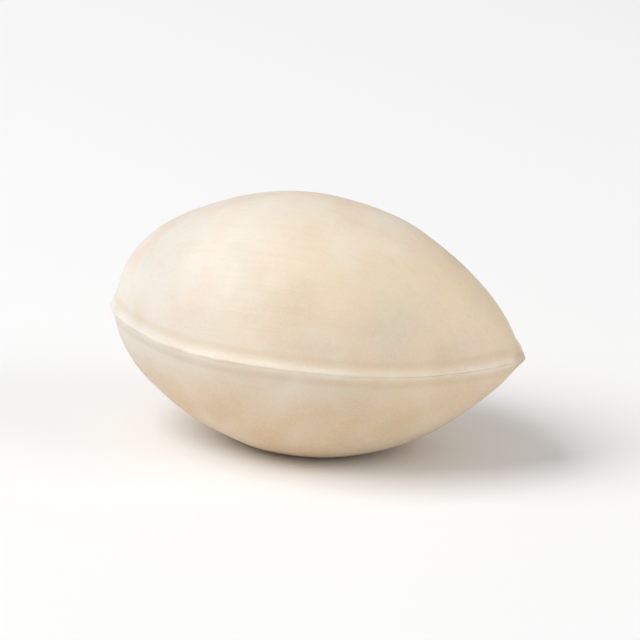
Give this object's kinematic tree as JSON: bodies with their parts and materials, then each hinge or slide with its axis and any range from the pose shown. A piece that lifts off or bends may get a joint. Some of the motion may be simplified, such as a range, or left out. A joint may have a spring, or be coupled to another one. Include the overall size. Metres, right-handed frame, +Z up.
{
  "type": "ginkgo nut",
  "caption": "Whole ginkgo nut in its cream shell: a pointed oval with a keel round its edge, lying on one broad face.",
  "frame": {"origin": "on the surface that the nut lies on, under the middle of its outline seen from above", "axes": "+X from the blunt base to the pointed tip, +Y across to the far keel, +Z up through the two broad faces"},
  "size_m": [0.0254, 0.0172, 0.0148],
  "materials": {
    "shell": "smooth, dull cream shell"
  },
  "bodies": {
    "root": {"ginkgo_nut": "shell"}
  },
  "joints": []
}
